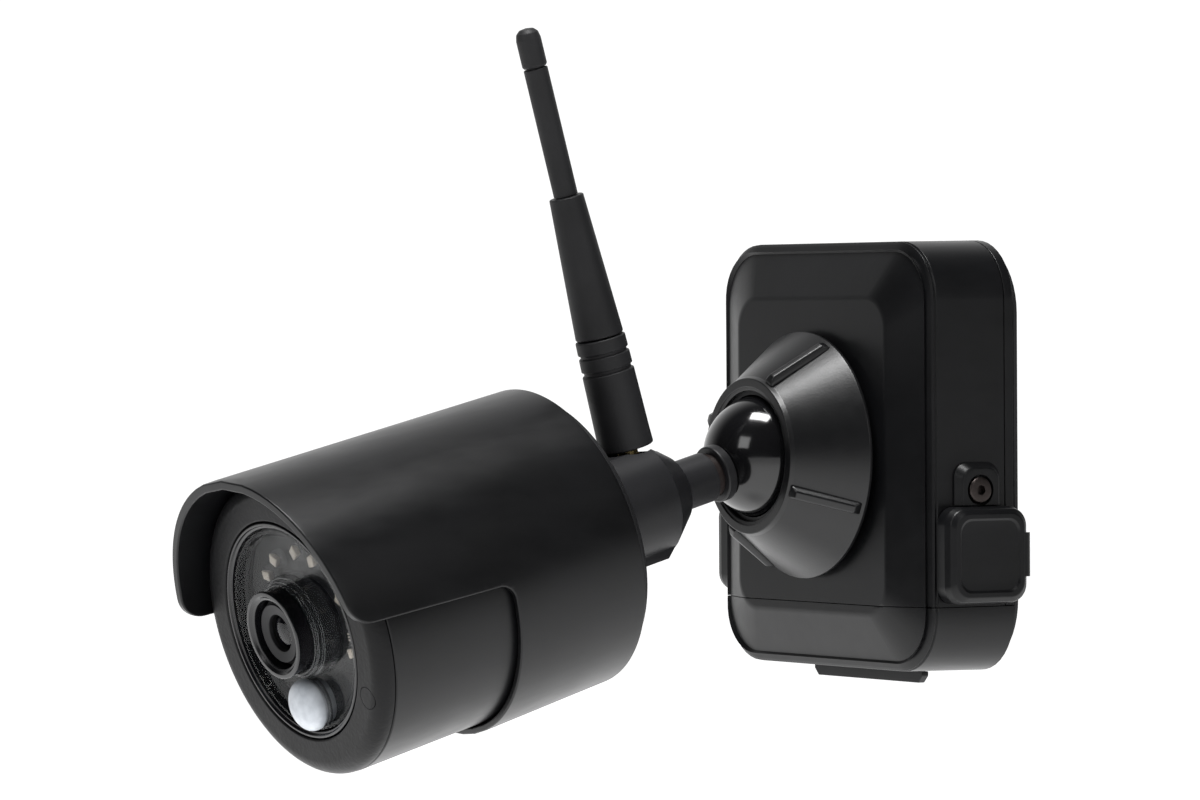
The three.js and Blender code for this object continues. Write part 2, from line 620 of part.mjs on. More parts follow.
function addBoards(parent) {
  const { r, frontS, thick } = board;
  const holeR = lens.hoodR + 0.8;
  const disc = [[holeR, frontS - thick], [r, frontS - thick], [r, frontS], [holeR, frontS]];
  node(parent, 'led_board', alongBarrel(disc, 32), 'darkBoard');
  const sensor = block(0, -sensorBoard.s, lens.lift, sensorBoard.size, thick, sensorBoard.size);
  node(parent, 'sensor_board', sensor, 'greenBoard');
  const main = block(0, -mainBoard.s, mainBoard.z, mainBoard.width, mainBoard.length, thick);
  node(parent, 'main_board', main, 'greenBoard');
}

function addLeds(parent) {
  const start = board.frontS + gap;
  const { orbit, r, height } = led;
  const dome = [
    [0, start], [r, start], [r, start + height * 0.45], [r * 0.8, start + height * 0.8], [0, start + height],
  ];
  ledAngles.forEach((angle, i) => {
    const place = [orbit * Math.cos(angle * degree), 0, orbit * Math.sin(angle * degree)];
    node(parent, `ir_led_${i + 1}`, alongBarrel(dome, 10).translate(place), 'clear');
  });
  const bead = [[0, start], [1.9, start], [1.9, start + 1.4], [1.2, start + 2.6], [0, start + 3]];
  node(parent, 'light_sensor', alongBarrel(bead, 12).translate([18.4, 0, -2.6]), 'clear');
}

function addPir(parent) {
  const { z, r, neckR, wall, neckS, baseS, sideS, frontS } = pir;
  // Each skin ends in a quarter ellipse, from the top of its side wall to the middle of its front.
  const dome = (radius, front, steps) => arc(0, 0, 1, 0, 90 * degree, steps)
    .map(([x, y], i) => [i === steps ? 0 : radius * x, sideS + (front - sideS) * y]);
  const outer = [[0, neckS], [neckR, neckS], [neckR, baseS], [r, baseS], ...dome(r, frontS, 5)];
  const innerR = neckR - wall;
  const inner = [[0, neckS - 1], [innerR, neckS - 1], ...dome(innerR, frontS - wall, 4)];
  const shade = alongBarrel(outer, 20).subtract(alongBarrel(inner, 20));
  node(parent, 'pir_dome', shade.translate([0, 0, z]), 'whiteLens');
  const can = [[0, board.frontS + gap], [4, board.frontS + gap], [4, 143.6], [3.4, 144], [0, 144]];
  node(parent, 'pir_sensor', alongBarrel(can, 14).translate([0, 0, z]), 'steel');
}

// Assembly -------------------------------------------------------------------------------------------

function securityCamera() {
  const camera = new THREE.Group();
  addWallBracket(camera);
  addPackCase(camera);
  addBatteryDoor(camera);
  addDoorLatch(camera);
  addBatteries(camera);
  addLatches(camera);
  addLockScrew(camera);
  addSocket(camera);
  addFrictionCup(camera);
  addPressureRing(camera);
  addCollar(camera);

  const head = new THREE.Group();
  head.position.y = ball.y;
  head.rotation.set(aim.tilt, -aim.roll, aim.turn, 'ZXY');
  camera.add(head);
  addBallStud(head);
  addBoss(head);
  addAntenna(head);

  const tube = new THREE.Group();
  tube.position.z = -barrel.drop;
  head.add(tube);
  addShell(tube);
  addHousing(tube);
  addBezel(tube);
  addCover(tube);
  addLens(tube);
  addBoards(tube);
  addLeds(tube);
  addPir(tube);
  return camera;
}

export default securityCamera();
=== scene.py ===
"""Looks of the wire-free security camera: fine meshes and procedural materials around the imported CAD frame.

Lengths of the object are millimetres in one of six spaces. WALL is the row frame. HEAD has its origin at
the ball's centre and -Y along the barrel. TUBE, LENS and PIR are HEAD moved to the axes of the barrel, the
lens and the motion sensor. ANTENNA has its origin at the antenna's foot and -Y up along the antenna.
In an outline, s is the distance along -Y from the space's origin. The stage, lights and camera are in metres.
"""

import json
import math

import bmesh
import bpy
from mathutils import Matrix, Vector
from mathutils.geometry import delaunay_2d_cdt


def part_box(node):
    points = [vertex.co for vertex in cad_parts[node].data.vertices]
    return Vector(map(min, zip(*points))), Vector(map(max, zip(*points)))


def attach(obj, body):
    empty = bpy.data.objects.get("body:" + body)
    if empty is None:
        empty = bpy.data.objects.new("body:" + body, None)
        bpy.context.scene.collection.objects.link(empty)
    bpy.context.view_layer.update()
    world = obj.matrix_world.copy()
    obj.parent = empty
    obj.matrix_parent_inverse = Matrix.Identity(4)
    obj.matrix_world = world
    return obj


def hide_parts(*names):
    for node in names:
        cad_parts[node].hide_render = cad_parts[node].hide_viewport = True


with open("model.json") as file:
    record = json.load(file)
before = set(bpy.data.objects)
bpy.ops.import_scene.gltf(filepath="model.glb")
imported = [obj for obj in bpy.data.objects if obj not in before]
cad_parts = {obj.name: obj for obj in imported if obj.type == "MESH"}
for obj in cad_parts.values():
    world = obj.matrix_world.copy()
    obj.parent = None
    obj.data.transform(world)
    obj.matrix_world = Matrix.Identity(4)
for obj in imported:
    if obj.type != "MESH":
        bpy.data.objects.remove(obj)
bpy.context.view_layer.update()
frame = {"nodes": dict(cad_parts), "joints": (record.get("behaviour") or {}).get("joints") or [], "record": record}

MM = 0.001
GAP = 0.3
DOOR_GAP = 0.2

# Spaces and bodies from the frame ---------------------------------------------------------------------

record = frame["record"]
joints = {joint["name"]: joint for joint in frame["joints"]}
body_of = {node: body for body, nodes in record["behaviour"]["bodies"].items() for node in nodes}


def space_of(origin, side, back, up):
    space = Matrix((side, back, up)).transposed().to_4x4()
    space.translation = origin
    return space


ahead = Vector(joints["barrel_roll"]["axis"]).normalized()
upward = Vector(joints["antenna_turn"]["axis"]).normalized()
ball_centre = Vector(joints["ball_tilt"]["pos_m"])
WALL = Matrix.Identity(4)
HEAD = space_of(ball_centre, (-ahead).cross(upward).normalized(), -ahead, upward)


def extent(node, space):
    """The node's lowest and highest corners in that space, in millimetres."""
    inverse = space.inverted()
    points = [inverse @ vertex.co / MM for vertex in frame["nodes"][node].data.vertices]
    low = Vector([min(point[i] for point in points) for i in range(3)])
    high = Vector([max(point[i] for point in points) for i in range(3)])
    return low, high


def moved_to(node):
    """HEAD, moved sideways and up to the axis of a round node."""
    low, high = extent(node, HEAD)
    middle = (low + high) / 2
    return HEAD @ Matrix.Translation(Vector((middle.x, 0, middle.z)) * MM)


TUBE = moved_to("inner_housing")
LENS = moved_to("lens_hood")
PIR = moved_to("pir_dome")
antenna_foot = Vector(joints["antenna_turn"]["pos_m"])
ANTENNA = space_of(antenna_foot, HEAD.to_3x3().col[0], -upward, -ahead)

# Outlines and meshes ----------------------------------------------------------------------------------


def filleted(outline, closed=True, steps=4):
    """The outline's points, with an arc at each corner that states a radius after its two coordinates."""
    points = []
    last = len(outline) - 1
    for i, (a, b, *radius) in enumerate(outline):
        here = Vector((a, b))
        if not radius or (not closed and i in (0, last)):
            points.append(here)
            continue
        before = Vector(outline[i - 1][:2]) - here
        after = Vector(outline[(i + 1) % len(outline)][:2]) - here
        half = before.angle(after) / 2
        reach = min(radius[0] / math.tan(half), 0.48 * before.length, 0.48 * after.length)
        before.normalize()
        after.normalize()
        centre = here + (before + after).normalized() * reach / math.cos(half)
        start = here + before * reach - centre
        end = here + after * reach - centre
        sweep = start.angle(end)
        for k in range(steps + 1):
            share = k / steps
            mix = start * math.sin((1 - share) * sweep) + end * math.sin(share * sweep)
            points.append(centre + mix / math.sin(sweep))
    return points


def arc(radius, first, last, steps, centre=(0, 0)):
    """Points on a circle between two angles in degrees."""
    angles = [math.radians(first + (last - first) * i / steps) for i in range(steps + 1)]
    return [(centre[0] + radius * math.cos(a), centre[1] + radius * math.sin(a)) for a in angles]


def made(name, points, faces, space, sharp=35):
    """An object from points in millimetres in a space, with smooth shading that breaks at sharp edges."""
    mesh = bpy.data.meshes.new(name)
    mesh.from_pydata([space @ (Vector(point) * MM) for point in points], [], faces)
    clean = bmesh.new()
    clean.from_mesh(mesh)
    bmesh.ops.remove_doubles(clean, verts=clean.verts, dist=1e-6)
    bmesh.ops.recalc_face_normals(clean, faces=clean.faces)
    clean.to_mesh(mesh)
    clean.free()
    piece = bpy.data.objects.new(name, mesh)
    bpy.context.scene.collection.objects.link(piece)
    return smoothed(piece, sharp)


def smoothed(piece, sharp=35):
    piece.data.shade_smooth()
    piece.data.set_sharp_from_angle(angle=math.radians(sharp))
    return piece


def settled(piece):
    """Applies the piece's modifiers to its mesh."""
    depsgraph = bpy.context.evaluated_depsgraph_get()
    mesh = bpy.data.meshes.new_from_object(piece.evaluated_get(depsgraph))
    piece.modifiers.clear()
    piece.data = mesh
    return piece


def combined(piece, tool, operation, sharp=35):
    """Cuts, joins or intersects the piece with a tool, which is used up."""
    modifier = piece.modifiers.new("boolean", "BOOLEAN")
    modifier.operation = operation
    modifier.solver = "EXACT"
    modifier.object = tool
    settled(piece)
    bpy.data.objects.remove(tool)
    return smoothed(piece, sharp)


def bevelled(piece, width, segments=3, angle=40):
    modifier = piece.modifiers.new("bevel", "BEVEL")
    modifier.width = width * MM
    modifier.segments = segments
    modifier.limit_method = "ANGLE"
    modifier.angle_limit = math.radians(angle)
    return smoothed(settled(piece), angle)


def thickened(piece, wall):
    modifier = piece.modifiers.new("wall", "SOLIDIFY")
    modifier.thickness = wall * MM
    modifier.offset = -1
    modifier.use_even_offset = True
    return smoothed(settled(piece))


def lathe(name, outline, space, centre=(0, 0), steps=96, sharp=35):
    """Turns an outline of (radius, s) about the space's Y axis, moved sideways and up to centre."""
    on_axis = outline[0][0] < 1e-6
    profile = filleted(outline, closed=not on_axis)
    points, rings = [], []
    for radius, s in profile:
        count = steps if radius > 1e-6 else 1
        rings.append((len(points), count))
        for i in range(count):
            angle = 2 * math.pi * i / steps
            points.append((centre[0] + radius * math.cos(angle), -s, centre[1] + radius * math.sin(angle)))
    faces = []
    pairs = list(zip(rings, rings[1:] + ([] if on_axis else rings[:1])))
    for (a, a_count), (b, b_count) in pairs:
        for i in range(steps):
            j = (i + 1) % steps
            corners = [a + i % a_count, a + j % a_count, b + j % b_count, b + i % b_count]
            kept = list(dict.fromkeys(corners))
            if len(kept) > 2:
                faces.append(kept)
    return made(name, points, faces, space, sharp)


def skin(name, rings, space=WALL, cap_first=True, cap_last=True, sharp=35):
    """A surface over rings that have equal numbers of points."""
    count = len(rings[0])
    faces = []
    for level in range(len(rings) - 1):
        for i in range(count):
            j = (i + 1) % count
            here, above = level * count, (level + 1) * count
            faces.append((here + i, here + j, above + j, above + i))
    if cap_first:
        faces.append(tuple(range(count)))
    if cap_last:
        faces.append(tuple((len(rings) - 1) * count + i for i in range(count)))
    return made(name, [point for ring in rings for point in ring], faces, space, sharp)


def rounded_rectangle(half_width, half_height, corner, arc_steps=8, edge_steps=6):
    """Points round a rectangle with round corners, with extra points along its straight sides."""
    corner = max(min(corner, half_width - 0.01, half_height - 0.01), 0.01)
    points = []
    for turn, (sx, sz) in enumerate(((1, 1), (-1, 1), (-1, -1), (1, -1))):
        middle = (sx * (half_width - corner), sz * (half_height - corner))
        points += arc(corner, 90 * turn, 90 * turn + 90, arc_steps, middle)
    full = []
    for i, here in enumerate(points):
        full.append(here)
        if i % (arc_steps + 1) == arc_steps:
            there = points[(i + 1) % len(points)]
            for k in range(1, edge_steps):
                share = k / edge_steps
                across = here[0] + (there[0] - here[0]) * share
                up = here[1] + (there[1] - here[1]) * share
                full.append((across, up))
    return full


def trimmed(piece, point, normal, fill=False):
    """Removes what lies on the normal's side of a plane."""
    work = bmesh.new()
    work.from_mesh(piece.data)
    geometry = work.verts[:] + work.edges[:] + work.faces[:]
    cut = bmesh.ops.bisect_plane(
        work, geom=geometry, plane_co=Vector(point) * MM, plane_no=normal, clear_outer=True)
    if fill:
        edges = [item for item in cut["geom_cut"] if isinstance(item, bmesh.types.BMEdge)]
        bmesh.ops.contextual_create(work, geom=edges)
        bmesh.ops.recalc_face_normals(work, faces=work.faces)
    work.to_mesh(piece.data)
    work.free()
    return smoothed(piece)


def cylinder(radius, start, end, space=WALL, steps=48):
    """A plain rod between two points, as a tool for cuts and joins."""
    first, last = Vector(start), Vector(end)
    along = (last - first).normalized()
    side = along.orthogonal().normalized()
    other = along.cross(side)
    rings = []
    for middle in (first, last):
        angles = [2 * math.pi * i / steps for i in range(steps)]
        rings.append([middle + (side * math.cos(a) + other * math.sin(a)) * radius for a in angles])
    return skin("tool", rings, space)


def box_tool(low, high, space=WALL):
    rings = [[(low[0], y, low[2]), (high[0], y, low[2]), (high[0], y, high[2]), (low[0], y, high[2])]
             for y in (low[1], high[1])]
    return skin("tool", rings, space)


def placed(piece, finish, *nodes):
    """Gives a piece its material and its body, and hides the CAD nodes it stands for."""
    piece.data.materials.clear()
    piece.data.materials.append(finish)
    modifier = piece.modifiers.new("even shading", "WEIGHTED_NORMAL")
    modifier.keep_sharp = True
    modifier.weight = 100
    settled(piece)
    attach(piece, body_of[nodes[0]])
    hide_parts(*nodes)
    return piece


def detail(piece, finish, node):
    """A piece of trim on a CAD node's body that stands for no node of its own."""
    piece.data.materials.clear()
    piece.data.materials.append(finish)
    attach(piece, body_of[node])
    return piece


# Materials --------------------------------------------------------------------------------------------


class Recipe:
    """A node material that is put together from a few named steps."""

    def __init__(self, name):
        self.material = bpy.data.materials.new(name)
        self.material.use_nodes = True
        self.nodes = self.material.node_tree.nodes
        self.links = self.material.node_tree.links
        self.shader = self.nodes["Principled BSDF"]
        self.place = self.nodes.new("ShaderNodeTexCoord").outputs["Object"]

    def noise(self, size, detail_level=3.0, stretch=None):
        """Noise whose blobs are about size millimetres across."""
        node = self.nodes.new("ShaderNodeTexNoise")
        node.inputs["Scale"].default_value = 0.6 / (size * MM)
        node.inputs["Detail"].default_value = detail_level
        source = self.place
        if stretch:
            mapping = self.nodes.new("ShaderNodeMapping")
            mapping.inputs["Scale"].default_value = stretch
            self.links.new(source, mapping.inputs["Vector"])
            source = mapping.outputs["Vector"]
        self.links.new(source, node.inputs["Vector"])
        return node.outputs["Fac"]

    def cells(self, size, feature="F1"):
        node = self.nodes.new("ShaderNodeTexVoronoi")
        node.inputs["Scale"].default_value = 1 / (size * MM)
        node.feature = feature
        self.links.new(self.place, node.inputs["Vector"])
        return node.outputs["Distance"]

    def spread(self, value, low, high, from_low=0.35, from_high=0.65):
        node = self.nodes.new("ShaderNodeMapRange")
        node.inputs["From Min"].default_value = from_low
        node.inputs["From Max"].default_value = from_high
        node.inputs["To Min"].default_value = low
        node.inputs["To Max"].default_value = high
        self.links.new(value, node.inputs["Value"])
        return node.outputs["Result"]

    def tint(self, value, first, second):
        node = self.nodes.new("ShaderNodeMix")
        node.data_type = "RGBA"
        node.inputs["A"].default_value = (*first, 1)
        node.inputs["B"].default_value = (*second, 1)
        self.links.new(value, node.inputs["Factor"])
        self.links.new(node.outputs["Result"], self.shader.inputs["Base Color"])

    def roughness(self, value):
        self.links.new(value, self.shader.inputs["Roughness"])

    def relief(self, layers):
        """Bump from (height value, depth in millimetres, strength) layers, coarse to fine."""
        normal = None
        for value, depth, strength in layers:
            node = self.nodes.new("ShaderNodeBump")
            node.inputs["Distance"].default_value = depth * MM
            node.inputs["Strength"].default_value = strength
            self.links.new(value, node.inputs["Height"])
            if normal:
                self.links.new(normal, node.inputs["Normal"])
            normal = node.outputs["Normal"]
        self.links.new(normal, self.shader.inputs["Normal"])


def plastic(name, color, roughness, grain=0.5, depth=0.01, wear=0.02, waviness=0.0015, shine=0.24):
    """Moulded plastic: fine grain, slow waviness, and patches that are a little shinier or duller."""
    recipe = Recipe(name)
    patches = recipe.noise(14, 4)
    scuffs = recipe.noise(3, 6, (1, 0.35, 1))
    recipe.tint(recipe.spread(patches, 0, 1), [c * 0.75 for c in color], [c * 1.3 for c in color])
    recipe.roughness(recipe.spread(scuffs, roughness - wear, roughness + wear))
    recipe.relief([(patches, waviness, 0.5), (recipe.noise(grain, 2), depth, 0.8)])
    recipe.shader.inputs["Specular IOR Level"].default_value = shine
    return recipe.material


def leather_grain(name, color, roughness):
    """Satin plastic with the pebbled grain of fine leather."""
    recipe = Recipe(name)
    pebbles = recipe.cells(0.55)
    fine = recipe.noise(0.25, 3)
    recipe.tint(recipe.spread(recipe.noise(9, 4), 0, 1), [c * 0.9 for c in color], [c * 1.1 for c in color])
    recipe.roughness(recipe.spread(recipe.noise(2.2, 5), roughness - 0.012, roughness + 0.015))
    recipe.relief([(pebbles, 0.012, 0.6), (fine, 0.006, 0.5)])
    recipe.shader.inputs["Specular IOR Level"].default_value = 0.38
    return recipe.material


def metal(name, color, roughness):
    recipe = Recipe(name)
    brushed = recipe.noise(0.35, 4, (1, 12, 1))
    recipe.shader.inputs["Metallic"].default_value = 1
    recipe.tint(recipe.spread(brushed, 0, 1), [c * 0.8 for c in color], color)
    recipe.roughness(recipe.spread(brushed, roughness - 0.08, roughness + 0.08))
    recipe.relief([(brushed, 0.006, 0.5)])
    return recipe.material


def clear_plastic(name, alpha=0.16, roughness=0.05, color=(0.02, 0.022, 0.024), coat=0.5):
    """Clear moulded polycarbonate, seen through with sharp reflections and slight flow ripples."""
    recipe = Recipe(name)
    ripples = recipe.noise(7, 3)
    recipe.tint(recipe.spread(ripples, 0, 1), [c * 0.9 for c in color], color)
    recipe.roughness(recipe.spread(ripples, roughness - 0.02, roughness + 0.03))
    recipe.relief([(ripples, 0.008, 0.4)])
    recipe.shader.inputs["IOR"].default_value = 1.58
    recipe.shader.inputs["Alpha"].default_value = alpha
    recipe.shader.inputs["Coat Weight"].default_value = coat
    recipe.shader.inputs["Coat Roughness"].default_value = 0.03
    return recipe.material


def milky_lens():
    recipe = Recipe("pir_white")
    cloud = recipe.noise(2.5, 4)
    recipe.tint(recipe.spread(cloud, 0, 1), (0.42, 0.45, 0.49), (0.6, 0.63, 0.67))
    recipe.roughness(recipe.spread(cloud, 0.3, 0.42))
    recipe.relief([(recipe.cells(1.5, "SMOOTH_F1"), 0.05, 0.25)])
    recipe.shader.inputs["Subsurface Weight"].default_value = 0.4
    recipe.shader.inputs["Subsurface Scale"].default_value = 0.002
    recipe.shader.inputs["Subsurface Radius"].default_value = (1, 1, 1)
    return recipe.material


def circuit_board(name, base, copper):
    recipe = Recipe(name)
    tracks = recipe.spread(recipe.cells(2.4, "DISTANCE_TO_EDGE"), 1, 0, 0.04, 0.07)
    recipe.tint(tracks, base, copper)
    recipe.roughness(recipe.spread(recipe.noise(4), 0.35, 0.5))
    recipe.relief([(tracks, 0.03, 0.5)])
    return recipe.material


BLACK = (0.0028, 0.0029, 0.0034)
look = {
    "pack": plastic("pack_black", BLACK, 0.36, grain=0.45, depth=0.008),
    "bracket": plastic("bracket_black", (0.009, 0.009, 0.01), 0.5, grain=0.4, depth=0.012),
    "collar": leather_grain("collar_black", BLACK, 0.33),
    "ball": plastic("ball_gloss", (0.004, 0.004, 0.0045), 0.12, grain=1.2, depth=0.001, wear=0.03,
                    waviness=0.02, shine=0.5),
    "neck": plastic("neck_black", (0.009, 0.009, 0.0102), 0.42, grain=0.3, depth=0.012),
    "sleeve": plastic("neck_sleeve_black", (0.01, 0.01, 0.0115), 0.46, grain=0.7, depth=0.04),
    "groove": plastic("neck_stud_dark", (0.016, 0.011, 0.01), 0.4, grain=0.3, depth=0.01),
    "shell": plastic("shell_black", BLACK, 0.34, grain=0.5, depth=0.006),
    "bezel": plastic("bezel_black", (0.003, 0.003, 0.0035), 0.4, grain=0.65, depth=0.09, shine=0.16),
    "hood": plastic("lens_black", (0.004, 0.004, 0.005), 0.24, grain=0.4, depth=0.004, shine=0.5),
    "lens_face": plastic("lens_face_grey", (0.009, 0.009, 0.01), 0.45, grain=0.3, depth=0.006),
    "cavity": plastic("cavity_black", (0.006, 0.006, 0.006), 0.6, grain=0.5, depth=0.01),
    "rubber": plastic("antenna_rubber", (0.011, 0.011, 0.012), 0.55, grain=0.35, depth=0.02),
    "gasket": plastic("gasket_rubber", (0.012, 0.012, 0.012), 0.7, grain=0.4, depth=0.02),
    "screw": metal("screw_dark", (0.05, 0.042, 0.04), 0.38),
    "steel": metal("screw_steel", (0.42, 0.42, 0.43), 0.3),
    "brass": metal("connector_brass", (0.62, 0.48, 0.22), 0.3),
    "clear": clear_plastic("clear_cover"),
    "clear_edge": clear_plastic("clear_boss", 0.34, 0.04, (0.05, 0.053, 0.056)),
    "glass": clear_plastic("lens_glass_dark", 0.6, 0.03, (0.001, 0.001, 0.003), coat=0),
    "bead": clear_plastic("sensor_bead", 0.16, 0.04, (0.3, 0.31, 0.32)),
    "chip": plastic("led_chip", (0.8, 0.72, 0.6), 0.3, grain=0.5, depth=0.02, shine=0.5),
    "pir": milky_lens(),
    "green": circuit_board("board_green", (0.006, 0.045, 0.018), (0.02, 0.09, 0.04)),
    "dark_board": circuit_board("board_dark", (0.006, 0.006, 0.007), (0.014, 0.014, 0.015)),
    "wrap": plastic("battery_wrap", (0.02, 0.022, 0.03), 0.32, grain=2.0, depth=0.02),
}

# Power pack -------------------------------------------------------------------------------------------

PACK = {
    "width": 95.6, "height": 108, "corner": 15, "draft": math.tan(math.radians(0.76)), "wall": 2.5,
    "rim": -25.5, "face": -31, "inset": 14, "face_corner": 8, "seam": -4.4, "cover_back": -1.5,
    "door_top": -37.5,
}
HUB_HOLE = 23.9


def pack_ring(y, inset=0.0):
    grow = max(y - PACK["rim"], 0) * PACK["draft"] - inset
    corner = PACK["corner"] - inset / PACK["inset"] * (PACK["corner"] - PACK["face_corner"])
    outline = rounded_rectangle(PACK["width"] / 2 + grow, PACK["height"] / 2 + grow, corner, 10, 8)
    return [(x, y, z) for x, z in outline]


def pack_outline(back):
    """(inset, y) from the back edge over the rim's fine groove to the raised front face."""
    rim, face, inset = PACK["rim"], PACK["face"], PACK["inset"]
    return filleted([
        (0, back), (0, rim + 0.95, 0.15), (0.35, rim + 0.7), (0.35, rim + 0.35), (0.05, rim + 0.1, 0.2),
        (0.75, rim - 0.3, 0.6), (inset, face, 4), (inset + 6, face),
    ], closed=False, steps=5)


def pack_shell(name, back, closed_back):
    rings = [pack_ring(y, inset) for inset, y in pack_outline(back)]
    hole = []
    for x, y, z in rings[-1]:
        scale = HUB_HOLE / math.hypot(x, z)
        hole.append((x * scale, y, z * scale))
    return skin(name, rings + [hole], cap_first=closed_back, cap_last=False)


def side_block(name, low, high, corner, outline, space=WALL):
    """A raised block on the right side: (inset, x) sections over a rounded rectangle in Y and Z."""
    middle = ((low[0] + high[0]) / 2, (low[1] + high[1]) / 2)
    half = ((high[0] - low[0]) / 2, (high[1] - low[1]) / 2)
    rings = []
    for inset, x in filleted(outline, closed=False, steps=4):
        ring = rounded_rectangle(half[0] - inset, half[1] - inset, corner - inset * 0.4, 8, 3)
        rings.append([(x, middle[0] + a, middle[1] + b) for a, b in ring])
    return skin(name, rings, space)


def add_pack_front():
    front = pack_shell("pack_front", PACK["seam"] - GAP / 2, False)
    trimmed(front, (0, 0, PACK["door_top"] + DOOR_GAP / 2), (0, 0, -1))
    thickened(front, PACK["wall"])
    bevelled(front, 0.16, 2, 50)
    side = PACK["width"] / 2
    tab = side_block("tab", (-20, -18), (-6.3, -1.4), 3.8,
                     [(0, side - 1.5), (0, side + 0.6, 0.3), (1.4, side + 2.5, 0.5), (2.2, side + 2.5)])
    trimmed(tab, (0, 0, -12), (0, 0, -1), fill=True)
    combined(front, tab, "UNION")
    screw_low, screw_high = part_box("lock_screw")
    y, z = [(screw_low[i] + screw_high[i]) / 2 / MM for i in (1, 2)]
    recess = cylinder(3.9, (side + GAP, y, z), (side + 9, y, z))
    combined(front, recess, "DIFFERENCE")
    placed(front, look["pack"], "pack_front_housing")


def add_battery_door():
    door = pack_shell("battery_door_skin", PACK["cover_back"] - GAP / 2, True)
    trimmed(door, (0, 0, PACK["door_top"] - DOOR_GAP / 2), (0, 0, 1))
    thickened(door, PACK["wall"])
    bevelled(door, 0.16, 2, 50)
    placed(door, look["pack"], "battery_door")

    low, high = [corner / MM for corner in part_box("door_latch")]
    chamfer = 1.8
    outline = [(low.x, high.z), (low.x, low.z + chamfer), (low.x + chamfer, low.z),
               (high.x - chamfer, low.z), (high.x, low.z + chamfer), (high.x, high.z)]
    tab = skin("door_latch_tab", [[(x, y, z) for x, z in outline] for y in (low.y, high.y)])
    bevelled(tab, 0.2, 2, 30)
    placed(tab, look["pack"], "door_latch")


def add_pack_back():
    rings = [pack_ring(y, inset) for inset, y in filleted([
        (4, PACK["seam"] + GAP / 2), (0, PACK["seam"] + GAP / 2, 0.2),
        (0, PACK["cover_back"] - GAP / 2, 0.3), (4, PACK["cover_back"] - GAP / 2)], closed=False)]
    cover = skin("pack_back", rings)
    trimmed(cover, (0, 0, PACK["door_top"] + GAP / 2), (0, 0, -1), fill=True)
    placed(cover, look["pack"], "pack_back_cover")

    low, high = [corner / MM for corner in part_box("wall_bracket")]
    corner = 18
    rings = []
    for inset, y in filleted([(6, 0), (0, 0, 0.3), (0, low.y, 0.5), (6, low.y)], closed=False):
        ring = rounded_rectangle(high.x - inset, high.z - inset, corner - inset, 12, 2)
        rings.append([(x, y, z) for x, z in ring])
    plate = skin("bracket_plate", rings)
    for x in (-31, 31):
        for z in (-34, 34):
            combined(plate, cylinder(2.2, (x, -5, z), (x, 5, z), steps=32), "DIFFERENCE")
    placed(plate, look["bracket"], "wall_bracket")


def add_batteries():
    for node in ("battery_left", "battery_right"):
        low, high = [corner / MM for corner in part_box(node)]
        middle, half = (low + high) / 2, (high - low) / 2
        rings = []
        ends = [(6, low.z), (0, low.z, 1.5), (0, high.z, 1.5), (6, high.z)]
        for inset, z in filleted(ends, closed=False):
            ring = rounded_rectangle(half.x - inset, half.y - inset, 4.5, 6, 2)
            rings.append([(middle.x + a, middle.y + b, z) for a, b in ring])
        placed(skin(node + "_cell", rings), look["wrap"], node)


def add_latches():
    low, high = [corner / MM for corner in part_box("latch_right")]
    pin_low, pin_high = [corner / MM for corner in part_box("latch_pin_right")]
    pivot = (pin_low + pin_high) / 2
    front, back = -25.2, -1.2
    block_top = high.x
    for name, mirror in (("right", 1), ("left", -1)):
        sections = [
            (0, low.x), (0, low.x + 3.2, 0.8), (0.5, block_top - 0.9, 0.9), (1.7, block_top, 0.7),
            (2.9, block_top, 0.3), (3.4, block_top - 0.35, 0.4), (6, block_top - 0.45),
        ]
        body = side_block(f"latch_{name}_block", (front, low.z), (back, high.z), 4.6, sections)
        knuckle = cylinder(2.2, (pivot.x, pivot.y, -30), (pivot.x, pivot.y, -19), steps=40)
        combined(body, knuckle, "UNION")
        hole = cylinder(1.0, (pivot.x, pivot.y, -31), (pivot.x, pivot.y, -18), steps=24)
        combined(body, hole, "DIFFERENCE")
        if mirror < 0:
            body.data.transform(Matrix.Diagonal((-1, 1, 1, 1)))
            body.data.flip_normals()
        placed(body, look["pack"], f"latch_{name}")


def add_lock_screw():
    low, high = [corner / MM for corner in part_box("lock_screw")]
    y, z = (low.y + high.y) / 2, (low.z + high.z) / 2
    turned = Matrix.Translation(Vector((high.x, y, z)) * MM) @ Matrix.Rotation(math.radians(90), 4, "Z")
    tip = low.x - high.x
    outline = [(0, 0), (3.3, 0, 0.5), (3.3, -2.2, 0.2), (1.5, -2.2), (1.5, tip), (0, tip)]
    screw = lathe("lock_screw_head", outline, turned, steps=64)
    hexagon = cylinder(1.35, (high.x + 1, y, z), (high.x - 1.6, y, z), steps=6)
    combined(screw, hexagon, "DIFFERENCE", 25)
    placed(screw, look["screw"], "lock_screw")


# Ball mount -------------------------------------------------------------------------------------------


def ball_arc(radius, first, last, steps):
    """(radius, s) points about the ball's centre; angles are degrees from the wall side of the axis."""
    centre_s = -ball_centre.y / MM
    return [(radius * math.sin(math.radians(first + (last - first) * i / steps)),
             centre_s - radius * math.cos(math.radians(first + (last - first) * i / steps)))
            for i in range(steps + 1)]


